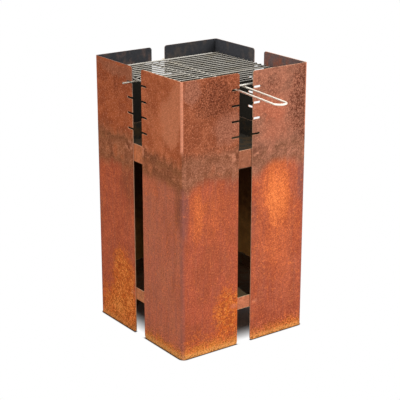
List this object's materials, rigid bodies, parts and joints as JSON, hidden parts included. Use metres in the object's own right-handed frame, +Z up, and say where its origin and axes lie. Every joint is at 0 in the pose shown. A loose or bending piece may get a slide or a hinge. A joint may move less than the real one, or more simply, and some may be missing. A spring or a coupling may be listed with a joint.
{
  "type": "barbecue grill",
  "caption": "Square standing charcoal grill of folded weathered steel sheets, with trays and a wire grate that turns into slots beside the open gaps.",
  "frame": {"origin": "on the ground, under the centre of the whole object's bounding box, handle and wire ends included", "axes": "+Z up; the lifting handle sticks out of the front, towards -Y; +X is the right side seen from the front"},
  "size_m": [0.444, 0.5994, 0.74],
  "materials": {
    "weathered_steel": "matt orange-brown rust patina, mottled, darker where the fire heats it",
    "fire_scaled_steel": "matt sooty fire scale with rust",
    "chromed_wire": "bright chrome plate on round wire"
  },
  "bodies": {
    "shell": {"corner_sheet_front_left": "weathered_steel", "corner_sheet_front_right": "weathered_steel", "corner_sheet_back_right": "weathered_steel", "corner_sheet_back_left": "weathered_steel", "fire_tray": "fire_scaled_steel", "base_tray": "weathered_steel"},
    "grate": {"lifting_handle": "chromed_wire", "support_wire_left": "chromed_wire", "support_wire_right": "chromed_wire", "grate_frame": "chromed_wire", "grate_rod_01": "chromed_wire", "grate_rod_02": "chromed_wire", "grate_rod_03": "chromed_wire", "grate_rod_04": "chromed_wire", "grate_rod_05": "chromed_wire", "grate_rod_06": "chromed_wire", "grate_rod_07": "chromed_wire", "grate_rod_08": "chromed_wire", "grate_rod_09": "chromed_wire", "grate_rod_10": "chromed_wire", "grate_rod_11": "chromed_wire", "grate_rod_12": "chromed_wire", "grate_rod_13": "chromed_wire", "grate_rod_14": "chromed_wire", "grate_rod_15": "chromed_wire", "grate_rod_16": "chromed_wire", "grate_rod_17": "chromed_wire", "grate_rod_18": "chromed_wire"}
  },
  "joints": [
    {"name": "grate_turn", "type": "hinge", "parent": "shell", "child": "grate", "pos_m": [0, 0.07763, 0.6978], "axis": [0, 0, 1], "range_deg": [-3.7, 4]}
  ]
}
